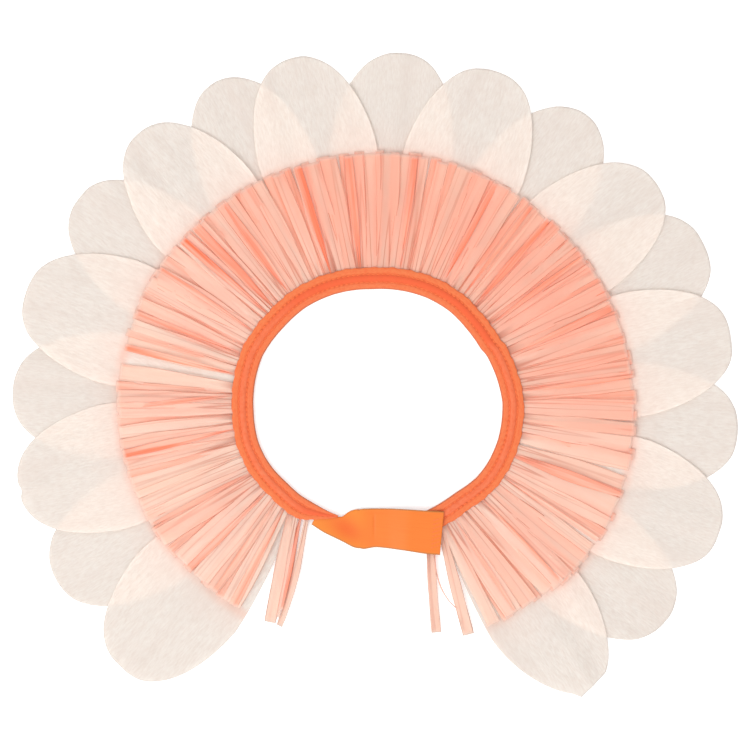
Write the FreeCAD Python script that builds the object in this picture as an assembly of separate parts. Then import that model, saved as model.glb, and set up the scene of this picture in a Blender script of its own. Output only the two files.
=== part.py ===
"""Flower bonnet: crepe paper petals and a tissue fringe, bound into a ring with an elastic chin strap.

Millimetres. The bonnet lies face side up on a table: X to the right, Y towards the crown, Z up.
The origin is the centre of the face opening, on the table. Angles are in degrees from +X.
"""
import FreeCAD, Part
import math
import os
import random

# Face opening and binding tape
openingRadius = 75.0      # inner edge of the tape at the crown and cheeks
chinDraw = 8.5            # how far the elastic draws the lower ends of the ring inwards
drawStart = 12.0          # degrees below the cheeks where that drawing in starts
drawEnd = 60.0            # degrees below the cheeks where it is complete
bandWidth = 13.0          # folded width
tapeThickness = 0.5       # one leaf
foldThickness = 1.0       # the rolled inner edge
ridgeRise = 0.45          # how far the upper leaf puffs up between its seams
seamInset = 4.2           # each seam from its edge of the tape
bandStart = -72.0         # right end, hidden under the strap
bandEnd = 249.0           # left end
taperStart = 234.0        # where the left end starts to narrow
taperWidth = 1.6          # width left at the very end of the taper
bandFacets = 42           # straight stretches round the ring

# Sheets of paper
crepeThickness = 0.4
tissueThickness = 0.3
layerGap = 0.3            # between neighbouring sheets
tuckDepth = 9.0           # how far petals and fringe reach into the tape
fluffLength = 30.0        # run over which the sheets open out once they leave the tape
tableClearance = 0.1      # under the lowest gathers of the back petals

# Petals
petalReach = 219.0        # centre of the opening to the tip of a usual petal
petalWidth = 73.0         # a usual petal at its widest
petalBase = 34.0          # gathered width inside the tape
tipLength = 61.0          # length of the rounded end
crepeRise = 0.8           # half the height of the gathers
creaseRise = 1.8          # how far a crease lifts the tip of its petal
petalRibs = 8             # stretches across a petal, with a gather along each rib between them
tipRows = 2               # stretches along a rib beyond the opened-out part

# Each petal: place on the ring, direction of its tip, reach and width as shares of the usual ones,
# roundness of the tip (2 is an ellipse, less is more pointed) and the rib that is creased (0 for none)
frontPetals = [
    (217.5, 225.3, 0.993, 1.000, 2.0, 4),
    (190.0, 192.3, 1.002, 1.014, 2.1, 4),
    (160.0, 161.0, 1.021, 1.027, 2.1, 0),
    (131.5, 130.2, 1.007, 0.986, 2.1, 5),
    (102.0, 103.0, 0.998, 0.986, 2.1, 0),
    (71.0, 70.3, 0.991, 1.000, 2.1, 0),
    (42.0, 40.2, 0.993, 0.973, 2.2, 5),
    (12.8, 12.3, 1.002, 1.000, 2.1, 0),
    (-18.2, -19.7, 1.000, 1.000, 2.1, 0),
    (-46.5, -52.0, 0.970, 0.918, 1.7, 4),
]
backPetals = [
    (205.5, 207.7, 0.995, 1.014, 2.1, 0),
    (175.0, 177.0, 1.000, 1.000, 2.1, 0),
    (145.5, 145.0, 1.007, 1.000, 2.1, 0),
    (116.5, 115.6, 1.005, 0.986, 2.1, 0),
    (87.0, 86.6, 0.986, 1.014, 2.1, 0),
    (56.0, 55.0, 0.998, 0.986, 2.1, 0),
    (27.0, 26.9, 1.016, 0.986, 2.1, 0),
    (-2.8, -3.5, 0.998, 1.014, 2.1, 0),
    (-33.2, -35.9, 0.986, 1.000, 2.1, 0),
]

# Fringe
fringeRadius = 156.0      # furthest reach of the strips from the centre
raggedReach = 4.0         # unevenness of their ends
fringeStart = -68.0       # right end of the under layer
fringeEnd = 238.5         # left end of both layers
stripCount = 75           # strips in the under layer
overLead = 1.5            # strips by which the over layer starts later than the under layer
stripWidth = 7.5
slitInset = 1.5           # the slits between strips stop this far outside the tape
fringeRise = 0.7          # half the height by which the strips roll and lift
stripWander = 0.6         # degrees by which a strip may point off its line
endFan = 18.0             # degrees by which the last strips swing into the gap at the chin
fanRange = 22.0           # degrees of the ring over which they do so
endSag = 2.6              # how much lower the very last strips lie, with no petal under them

# Elastic chin strap
strapWidth = 25.0
strapThickness = 0.8
strapOverlap = 8.5        # right end, beyond the inner edge of the tape
strapLift = 2.6           # the lower edge of that end rides this much higher, over the fringe
strapRest = 2.4           # height of its free stretch above the table
strapBow = 0.6            # how much higher the middle of that stretch lies
strapTuck = 9.0           # degrees of the ring by which its left end reaches into the tape
strapExit = 2.0           # degrees of the ring past the tape's left end where it comes free
strapLap = 10.0           # degrees of the ring by which its right end lies over the tape

# Thread
threadWidth = 0.7
threadHeight = 0.35
threadClearance = 0.08
stitchPitch = 3.0
stitchLength = 2.2
tackBars = 8              # zigzag bars that hold the right end of the strap
tackLength = 3.4
tackInset = 1.6           # from the cut end of the strap
tackRun = 0.72            # share of the strap's width that they cover

random.seed(12)

# Underside heights of what lies inside the tape, each from the one below
backTuckZ = tapeThickness + layerGap
frontTuckZ = backTuckZ + crepeThickness + layerGap
underTuckZ = frontTuckZ + crepeThickness + layerGap
overTuckZ = underTuckZ + tissueThickness + layerGap
topLeafZ = overTuckZ + tissueThickness + layerGap
bandHeight = topLeafZ + tapeThickness

# Mean underside heights of the sheets where they lie open outside the tape
backOpenZ = tableClearance + crepeRise
frontOpenZ = backOpenZ + crepeThickness + layerGap + 2 * crepeRise
underOpenZ = frontOpenZ + crepeRise + crepeThickness + layerGap + fringeRise
overOpenZ = underOpenZ + tissueThickness + layerGap + 2 * fringeRise


def smooth(share):
    """A share of 0 to 1, eased at both ends."""
    share = min(1.0, max(0.0, share))
    return share * share * (3 - 2 * share)


def heading(angle, z=0.0):
    """A unit step across the table in a direction."""
    return FreeCAD.Vector(math.cos(math.radians(angle)), math.sin(math.radians(angle)), z)


def ringRadius(angle):
    """Inner edge of the tape in a direction: round, with the lower ends drawn in."""
    below = math.degrees(math.asin(-math.sin(math.radians(angle))))
    return openingRadius - chinDraw * smooth((below - drawStart) / (drawEnd - drawStart))


def ringPoint(angle, offset, z=0.0):
    """A point outside the inner edge of the tape by offset."""
    point = heading(angle) * (ringRadius(angle) + offset)
    point.z = z
    return point


def ringOffset(point):
    """How far a point lies outside the inner edge of the tape."""
    return math.hypot(point.x, point.y) - ringRadius(math.degrees(math.atan2(point.y, point.x)))


def opened(offset):
    """Share by which the sheets have opened out at an offset from the inner edge of the tape."""
    return min(1.0, max(0.0, (offset - bandWidth) / fluffLength))


def closedSolid(points, triangles):
    """A solid from corner points and the triangles that close it."""
    shape = Part.Shape()
    shape.makeShapeFromMesh((points, triangles), 0.0001)
    solid = Part.Solid(Part.Shell(shape.Faces))
    if solid.Volume < 0:
        solid.reverse()
    return solid


def sheetSolid(lowerRows, upperRows):
    """A sheet between two equal nets of points. Each square folds from its right near corner."""
    across = len(lowerRows[0])
    lower = [point for row in lowerRows for point in row]
    upper = [point for row in upperRows for point in row]
    lift = len(lower)
    triangles = []
    for r in range(len(lowerRows) - 1):
        for c in range(across - 1):
            a = r * across + c
            b = a + 1
            d = a + across
            e = d + 1
            triangles += [(a, d, b), (b, d, e)]
            triangles += [(a + lift, b + lift, d + lift), (b + lift, e + lift, d + lift)]
    last = len(lower) - across
    rim = list(range(across))
    rim += range(2 * across - 1, len(lower), across)
    rim += range(len(lower) - 2, last - 1, -1)
    rim += range(last - across, 0, -across)
    for a, b in zip(rim, rim[1:] + rim[:1]):
        triangles += [(a, b, a + lift), (b, b + lift, a + lift)]
    return closedSolid(lower + upper, triangles)


def bandSection(angle):
    """Section of the folded tape: lower leaf, rolled inner edge, upper leaf puffed between its seams."""
    share = max(0.0, (angle - taperStart) / (bandEnd - taperStart))
    width = bandWidth - (bandWidth - taperWidth) * share
    narrowing = width / bandWidth
    fold = foldThickness * min(1.0, 4 * narrowing)
    outline = [
        (0.0, 0.5 * bandHeight),
        (0.3 * fold, 0.0),
        (width, 0.0),
        (width, tapeThickness),
        (fold, tapeThickness),
        (fold, topLeafZ),
        (width, topLeafZ),
        (width, bandHeight),
        (width - seamInset * narrowing, bandHeight),
        (0.5 * width, bandHeight + ridgeRise * narrowing),
        (seamInset * narrowing, bandHeight),
        (0.3 * fold, bandHeight),
    ]
    return [ringPoint(angle, offset, z) for offset, z in outline]


def band():
    """The binding tape round the opening, folded over the gathered sheets."""
    step = (bandEnd - bandStart) / bandFacets
    sections = [bandSection(bandStart + step * k) for k in range(bandFacets + 1)]
    corners = len(sections[0])
    points = [point for section in sections for point in section]
    triangles = []
    for s in range(bandFacets):
        for c in range(corners):
            a = s * corners + c
            b = s * corners + (c + 1) % corners
            triangles += [(a, b, a + corners), (b, b + corners, a + corners)]
    cap = [(0, 1, 4), (1, 2, 3), (1, 3, 4), (0, 4, 5), (0, 5, 11), (5, 10, 11), (5, 9, 10), (5, 6, 9),
           (6, 8, 9), (6, 7, 8)]
    last = bandFacets * corners
    triangles += [(c, b, a) for a, b, c in cap]
    triangles += [(a + last, b + last, c + last) for a, b, c in cap]
    return closedSolid(points, triangles)


def petal(shape, tuckZ, openZ):
    """A crepe petal: gathered in the tape, opening out into a rounded end, with gathers up its length."""
    ringAngle, tipAngle, reachShare, widthShare, roundness, creasedRib = shape
    width = petalWidth * widthShare
    base = ringPoint(ringAngle, bandWidth - tuckDepth)
    axis = heading(tipAngle) * (petalReach * reachShare) - base
    length = axis.Length
    axis.normalize()
    side = FreeCAD.Vector(-axis.y, axis.x, 0)
    sideLength = length - tipLength
    phase = random.choice((0, 1))
    depths = [random.uniform(0.45, 1.0) for _ in range(petalRibs + 1)]

    def ribPoint(share, along):
        run = min(1.0, max(0.0, along / sideLength))
        spread = petalBase + (width - petalBase) * (1.25 * run - 0.25 * run ** 3)
        return base + axis * along + side * (share * spread / 2)

    def alongAt(share, offset):
        low, high = -tuckDepth, length
        while high - low > 0.001:
            middle = (low + high) / 2
            if ringOffset(ribPoint(share, middle)) < offset:
                low = middle
            else:
                high = middle
        return low

    columns = []
    for c in range(petalRibs + 1):
        share = math.sin(math.pi / 2 * (2 * c / petalRibs - 1))
        ribEnd = sideLength + tipLength * math.sqrt(max(0.0, 1 - abs(share) ** roundness))
        places = [alongAt(share, offset)
                  for offset in (bandWidth - tuckDepth, bandWidth, bandWidth + fluffLength)]
        run = (ribEnd - places[-1]) / tipRows
        places += [places[-1] + run * (k + 1) for k in range(tipRows)]
        swing = (1 if (c + phase) % 2 else -1) * crepeRise * depths[c]
        column = []
        for along in places:
            point = ribPoint(share, along)
            point.z = tuckZ + (openZ - tuckZ + swing) * opened(ringOffset(point))
            column.append(point)
        if creasedRib and c == creasedRib:
            column[-1].z = openZ + crepeRise + creaseRise
        columns.append(column)
    rows = [list(row) for row in zip(*columns)]
    up = FreeCAD.Vector(0, 0, crepeThickness)
    return sheetSolid(rows, [[point + up for point in row] for row in rows])


def fan(angle):
    """Degrees by which a strip swings towards the gap at the chin, and how far it sags there."""
    left = max(0.0, 1 - (fringeEnd - angle) / fanRange)
    right = max(0.0, 1 - (angle - fringeStart) / fanRange)
    return endFan * (left ** 2 - right ** 2), endSag * max(0.0, 4 * max(left, right) - 3)


def fringe(lead, tuckZ, openZ):
    """A tissue strip slit into a fringe: a header gathered in the tape, and loose strips beyond it."""
    pitch = (fringeEnd - fringeStart) / (stripCount + 0.5)
    count = int(stripCount + 0.5 - lead)
    start = fringeEnd - (count + (0 if lead else 0.5)) * pitch
    slitOffset = bandWidth + slitInset
    up = FreeCAD.Vector(0, 0, tissueThickness)
    points = []
    triangles = []

    def place(point):
        points.extend([point, point + up])
        return len(points) - 2

    def leaf(a, b, c, d):
        triangles.extend([(a, b, c), (a, c, d), (a + 1, c + 1, b + 1), (a + 1, d + 1, c + 1)])

    def edge(a, b):
        triangles.extend([(a, a + 1, b + 1), (a, b + 1, b)])

    inner = []
    roots = []
    for k in range(count + 1):
        inner.append(place(ringPoint(start + pitch * k, bandWidth - tuckDepth, tuckZ)))
        roots.append(place(ringPoint(start + pitch * k, slitOffset, tuckZ)))
    edge(roots[0], inner[0])
    edge(inner[-1], roots[-1])
    for k in range(count):
        leaf(inner[k], inner[k + 1], roots[k + 1], roots[k])
        edge(inner[k], inner[k + 1])
        angle = start + pitch * (k + 0.5)
        swing, sag = fan(angle)
        foot = ringPoint(angle, slitOffset)
        along = heading(angle + swing + random.uniform(-stripWander, stripWander))
        across = FreeCAD.Vector(-along.y, along.x, 0) * (stripWidth / 2)
        length = fringeRadius - random.uniform(0, raggedReach) - foot.Length
        lift = fringeRise * random.uniform(-0.3, 0.3)
        roll = fringeRise * random.uniform(0.3, 0.7) * random.choice((-1, 1))
        right, left = roots[k], roots[k + 1]
        for distance in (fluffLength - slitInset, (fluffLength + length) / 2, length):
            spread = opened(slitOffset + distance)
            middle = foot + along * distance
            middle.z = tuckZ + (openZ - sag - tuckZ + lift) * spread
            rise = FreeCAD.Vector(0, 0, roll * spread)
            nextRight = place(middle - across - rise)
            nextLeft = place(middle + across + rise)
            leaf(right, left, nextLeft, nextRight)
            edge(nextRight, right)
            edge(left, nextLeft)
            right, left = nextRight, nextLeft
        edge(left, right)
    return closedSolid(points, triangles)


def strapStations():
    """Places across the strap from its left end in the tape to its right end on top of the tape.

    Each has its upper corner, direction across, share turned under, and heights of its two edges.
    """
    leftTip = ringPoint(bandEnd + strapExit, 0)
    rightTip = ringPoint(bandStart + strapLap, 0)
    line = rightTip - leftTip
    above = FreeCAD.Vector(-line.y, line.x, 0).normalize()
    tucked = topLeafZ - layerGap - strapThickness
    onBand = bandHeight + ridgeRise + layerGap
    fromLeft = [
        # share of the way along, rise above the line as a share of the strap's width, direction across,
        # turned under, heights
        (0.02, -0.064, 262, 0.5, tucked, tucked),
        (0.10, 0.08, 274, 0.25, strapRest, strapRest),
        (0.19, 0.16, 277, 0.0, strapRest, strapRest),
        (0.56, 0.144, 271, 0.0, strapRest + strapBow, strapRest + strapBow),
        (0.78, 0.092, 267, 0.0, onBand, onBand + strapLift),
        (1.0, 0.024, 266, 0.0, onBand, onBand + strapLift),
        (1.0 + strapOverlap / line.Length, -0.024, 266, 0.0, onBand, onBand + strapLift),
    ]
    stations = [
        (ringPoint(bandEnd - strapTuck, 2.2 * foldThickness), 248, 0.5, tucked, tucked),
        (ringPoint(bandEnd - strapTuck / 3, 1.6 * foldThickness), 254, 0.5, tucked, tucked),
    ]
    for share, rise, direction, turned, upperZ, lowerZ in fromLeft:
        corner = leftTip + line * share + above * (rise * strapWidth)
        stations.append((corner, direction, turned, upperZ, lowerZ))
    return stations


def strap():
    """The elastic: flat over the right end of the tape, turned under lengthwise into its left end."""
    shares = (0.0, 0.25, 0.5, 0.75, 1.0)
    innerRows = []
    outerRows = []
    for corner, direction, turned, upperZ, lowerZ in strapStations():
        across = heading(direction)
        inner = []
        outer = []
        for share in shares:
            place = corner + across * (strapWidth * abs(share - turned))
            place.z = upperZ + (lowerZ - upperZ) * share
            if share < turned:
                place.z -= layerGap
                outward = FreeCAD.Vector(0, 0, -strapThickness)
            elif share == turned and turned > 0:
                place.z -= layerGap / 2
                outward = across * -strapThickness
            else:
                outward = FreeCAD.Vector(0, 0, strapThickness)
            inner.append(place)
            outer.append(place + outward)
        innerRows.append(inner)
        outerRows.append(outer)
    return sheetSolid(innerRows, outerRows)


def threadBar(start, end):
    """A short stitch of thread, flat underneath and peaked along its top."""
    run = end - start
    half = FreeCAD.Vector(-run.y, run.x, 0).normalize() * (threadWidth / 2)
    peak = FreeCAD.Vector(0, 0, threadHeight)
    points = [start - half, start + half, start + peak, end - half, end + half, end + peak]
    triangles = [(0, 2, 1), (3, 4, 5), (0, 1, 4), (0, 4, 3), (1, 2, 5), (1, 5, 4), (2, 0, 3), (2, 3, 5)]
    return closedSolid(points, triangles)


def seam(inset):
    """A row of stitches along the upper leaf, at an inset from the inner edge of the tape."""
    low = bandHeight + threadClearance + threadWidth / 2 * ridgeRise / (bandWidth / 2 - seamInset)
    step = math.degrees(stitchPitch / (openingRadius + inset))
    stitch = step * stitchLength / stitchPitch
    count = int((taperStart - bandStart) / step)
    stitches = []
    for k in range(count):
        angle = bandStart + step * (k + 0.5)
        stitches.append(threadBar(ringPoint(angle - stitch / 2, inset, low),
                                  ringPoint(angle + stitch / 2, inset, low)))
    return Part.makeCompound(stitches)


def strapTack():
    """Zigzag stitches that hold the right end of the strap to the tape."""
    corner, direction, turned, upperZ, lowerZ = strapStations()[-1]
    before = strapStations()[-2][0]
    back = (before - corner).normalize()
    across = heading(direction)

    def place(share, inset):
        point = corner + back * inset + across * (strapWidth * share)
        point.z = upperZ + (lowerZ - upperZ) * share + strapThickness + threadClearance
        return point

    bars = []
    for k in range(tackBars):
        share = (1 - tackRun) / 2 + tackRun * (k + 0.5) / tackBars
        slant = 0.28 * tackRun / tackBars
        bars.append(threadBar(place(share - slant, tackInset), place(share + slant, tackInset + tackLength)))
    return Part.makeCompound(bars)


parts = {
    "binding_tape": band(),
    "under_fringe": fringe(0, underTuckZ, underOpenZ),
    "over_fringe": fringe(overLead, overTuckZ, overOpenZ),
    "chin_strap": strap(),
    "outer_seam_stitches": seam(bandWidth - seamInset),
    "inner_seam_stitches": seam(seamInset),
    "strap_tack_stitches": strapTack(),
}
for k, shape in enumerate(frontPetals):
    parts["front_petal_%02d" % (k + 1)] = petal(shape, frontTuckZ, frontOpenZ)
for k, shape in enumerate(backPetals):
    parts["back_petal_%02d" % (k + 1)] = petal(shape, backTuckZ, backOpenZ)

os.makedirs("parts", exist_ok=True)
for name, solid in parts.items():
    solid.exportStep("parts/%s.step" % name)
    print("%-20s %s  %4d faces  %8.1f mm3" % (name, solid.isValid(), len(solid.Faces), solid.Volume))
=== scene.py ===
import bpy
import math
import random
import numpy as np
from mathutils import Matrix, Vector


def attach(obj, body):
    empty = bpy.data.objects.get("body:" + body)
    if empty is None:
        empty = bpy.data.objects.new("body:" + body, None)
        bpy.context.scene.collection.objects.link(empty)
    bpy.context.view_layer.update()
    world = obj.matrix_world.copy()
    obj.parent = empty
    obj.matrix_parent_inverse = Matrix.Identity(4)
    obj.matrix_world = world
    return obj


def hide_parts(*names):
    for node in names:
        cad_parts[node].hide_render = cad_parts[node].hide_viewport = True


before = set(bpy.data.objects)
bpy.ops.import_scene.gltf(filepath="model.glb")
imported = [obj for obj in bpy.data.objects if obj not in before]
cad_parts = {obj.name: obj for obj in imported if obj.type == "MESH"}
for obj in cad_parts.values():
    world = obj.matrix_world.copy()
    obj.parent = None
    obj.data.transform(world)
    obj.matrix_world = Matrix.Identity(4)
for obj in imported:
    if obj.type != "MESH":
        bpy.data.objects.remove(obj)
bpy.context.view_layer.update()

mm = 0.001
body = "root"
scene = bpy.context.scene
anyPhase = (0, 6.3)                            # where a random wave may start, in radians
times = {"operation": "MULTIPLY"}              # settings of a node that multiplies two numbers
eased = {"interpolation_type": "SMOOTHSTEP"}   # settings of a range with soft ends
dyes = {"data_type": "RGBA"}                   # settings of a mix of two colours

ring = {
    "radius": 75.0,        # inner edge of the tape at the crown and cheeks
    "chinDraw": 8.5,       # how far the elastic draws the lower ends inwards
    "drawStart": 12.0, "drawEnd": 60.0,   # degrees below the cheeks over which it does so
    "width": 13.0,         # folded tape
    "tuck": 9.0,           # how far the papers reach into the tape
    "fluff": 30.0,         # run over which they open out once they leave it
}


def toLinear(hexColour):
    channels = [int(hexColour[k:k + 2], 16) / 255 for k in (1, 3, 5)]
    return tuple(c / 12.92 if c <= 0.04045 else ((c + 0.055) / 1.055) ** 2.4 for c in channels) + (1.0,)


def addNode(tree, kind, settings=None, links=None):
    # settings are the node's properties or unlinked sockets. Links are sockets with their source, which is
    # another socket, or a node that stands for the first of its outputs in use
    node = tree.nodes.new(kind)
    late = {}
    for key, value in (settings or {}).items():
        if isinstance(key, str) and hasattr(node, key):
            setattr(node, key, value)
        else:
            late[key] = value
    for key, value in late.items():
        node.inputs[key].default_value = value
    for key, source in (links or {}).items():
        if isinstance(source, bpy.types.Node):
            source = next(socket for socket in source.outputs if socket.enabled)
        tree.links.new(node.inputs[key], source)
    return node


def smooth(share):
    share = np.clip(share, 0.0, 1.0)
    return share * share * (3 - 2 * share)


def heading(angle):
    return np.stack([np.cos(np.radians(angle)), np.sin(np.radians(angle))], -1)


def ringRadius(angle):
    below = np.degrees(np.arcsin(-np.sin(np.radians(angle))))
    run = (below - ring["drawStart"]) / (ring["drawEnd"] - ring["drawStart"])
    return ring["radius"] - ring["chinDraw"] * smooth(run)


def ringPoint(angle, offset):
    return heading(angle) * (ringRadius(angle) + offset)


def ringOffset(place):
    x, y = place[..., 0], place[..., 1]
    return np.hypot(x, y) - ringRadius(np.degrees(np.arctan2(y, x)))


def opened(offset):
    return smooth((offset - ring["width"]) / ring["fluff"])


def addObject(name, data):
    thing = bpy.data.objects.new(name, data)
    scene.collection.objects.link(thing)
    return thing


def store(mesh, label, values, kind="FLOAT"):
    # numbers at the points of a mesh, for its tree or its material to read
    points = mesh.attributes.new(label, kind, "POINT").data
    points.foreach_set("value" if kind == "FLOAT" else "vector", np.ravel(values).tolist())


def newTree(name, sizes):
    # a geometry tree with named inputs: its sizes with their usual values, and its material
    tree = bpy.data.node_groups.new(name, "GeometryNodeTree")
    for way in ("INPUT", "OUTPUT"):
        tree.interface.new_socket("Geometry", in_out=way, socket_type="NodeSocketGeometry")
    for label, value in sizes.items():
        kind = "NodeSocketInt" if isinstance(value, int) else "NodeSocketFloat"
        tree.interface.new_socket(label, in_out="INPUT", socket_type=kind).default_value = value
    tree.interface.new_socket("Material", in_out="INPUT", socket_type="NodeSocketMaterial")
    return tree, addNode(tree, "NodeGroupInput").outputs


def endTree(tree, given, shape):
    # the last nodes of every tree
    real = addNode(tree, "GeometryNodeRealizeInstances", None, {"Geometry": shape})
    dressed = addNode(tree, "GeometryNodeSetMaterial", None,
                      {"Geometry": real, "Material": given["Material"]})
    addNode(tree, "NodeGroupOutput", None, {"Geometry": dressed})
    return tree


def runTree(source, tree, values, name):
    # evaluates a tree on a source object and keeps the result as a plain mesh object
    modifier = source.modifiers.new(tree.name, "NODES")
    modifier.node_group = tree
    for socket in tree.interface.items_tree:
        if socket.in_out == "INPUT" and socket.name in values:
            modifier[socket.identifier] = values[socket.name]
    graph = bpy.context.evaluated_depsgraph_get()
    mesh = bpy.data.meshes.new_from_object(source.evaluated_get(graph), preserve_all_data_layers=True,
                                           depsgraph=graph)
    bpy.data.objects.remove(source)
    mesh.name = name
    return addObject(name, mesh)


def gridObject(name, places, cut, tone):
    # an open sheet from a net of places (rows, columns, 3) in mm, with its flat coordinates
    rows, columns = places.shape[:2]
    index = np.arange(rows * columns).reshape(rows, columns)
    quads = np.stack([index[:-1, :-1], index[:-1, 1:], index[1:, 1:], index[1:, :-1]], -1).reshape(-1, 4)
    mesh = bpy.data.meshes.new(name)
    mesh.from_pydata((places.reshape(-1, 3) * mm).tolist(), [], quads.tolist())
    store(mesh, "cut", np.concatenate([cut * mm, np.full((rows, columns, 1), tone)], -1), "FLOAT_VECTOR")
    mesh.update()
    return addObject(name, mesh)


def guideObject(name, lines):
    # lines of places in mm as a mesh of edges, for a tree to follow
    places, edges = [], []
    for line in lines:
        first = len(places)
        places += (line * mm).tolist()
        edges += [(first + k, first + k + 1) for k in range(len(line) - 1)]
    mesh = bpy.data.meshes.new(name)
    mesh.from_pydata(places, edges, [])
    return addObject(name, mesh)


def thickenTree():
    # gives an open sheet its thickness: a lower and an upper face, and flat cut edges
    tree, given = newTree("thickenSheet", {"Thickness": 0.3 * mm})
    raised = addNode(tree, "GeometryNodeExtrudeMesh", {"mode": "FACES", "Individual": False},
                     {"Mesh": given["Geometry"], "Offset Scale": given["Thickness"]})
    upper = addNode(tree, "GeometryNodeSetShadeSmooth", {"Shade Smooth": True},
                    {"Geometry": raised, "Selection": raised.outputs["Top"]})
    sides = addNode(tree, "GeometryNodeSetShadeSmooth", {"Shade Smooth": False},
                    {"Geometry": upper, "Selection": raised.outputs["Side"]})
    under = addNode(tree, "GeometryNodeFlipFaces", None, {"Mesh": given["Geometry"]})
    rounded = addNode(tree, "GeometryNodeSetShadeSmooth", None, {"Geometry": under})
    both = addNode(tree, "GeometryNodeJoinGeometry")
    for part in (sides, rounded):
        tree.links.new(both.inputs[0], part.outputs[0])
    closed = addNode(tree, "GeometryNodeMergeByDistance", {"Distance": 0.002 * mm}, {"Geometry": both})
    return endTree(tree, given, closed)


def newMaterial(name):
    material = bpy.data.materials.new(name)
    material.use_nodes = True
    material.node_tree.nodes.clear()
    return material, material.node_tree


def sheetPattern(tree, marks):
    # a sheet's flat coordinates, and noises drawn out along them. Each mark has its size in mm along both
    # coordinates, how far it differs from sheet to sheet, its detail and its roughness
    flat = addNode(tree, "ShaderNodeAttribute", {"attribute_name": "cut"}).outputs["Vector"]
    noises = {}
    for label, (wide, long, change, detail, rough) in marks.items():
        drawn = addNode(tree, "ShaderNodeMapping", {"Scale": (1 / (wide * mm), 1 / (long * mm), change)},
                        {"Vector": flat})
        noises[label] = addNode(tree, "ShaderNodeTexNoise",
                                {"Scale": 1.0, "Detail": detail, "Roughness": rough}, {"Vector": drawn})
    return flat, addNode(tree, "ShaderNodeSeparateXYZ", None, {"Vector": flat}).outputs, noises


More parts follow.
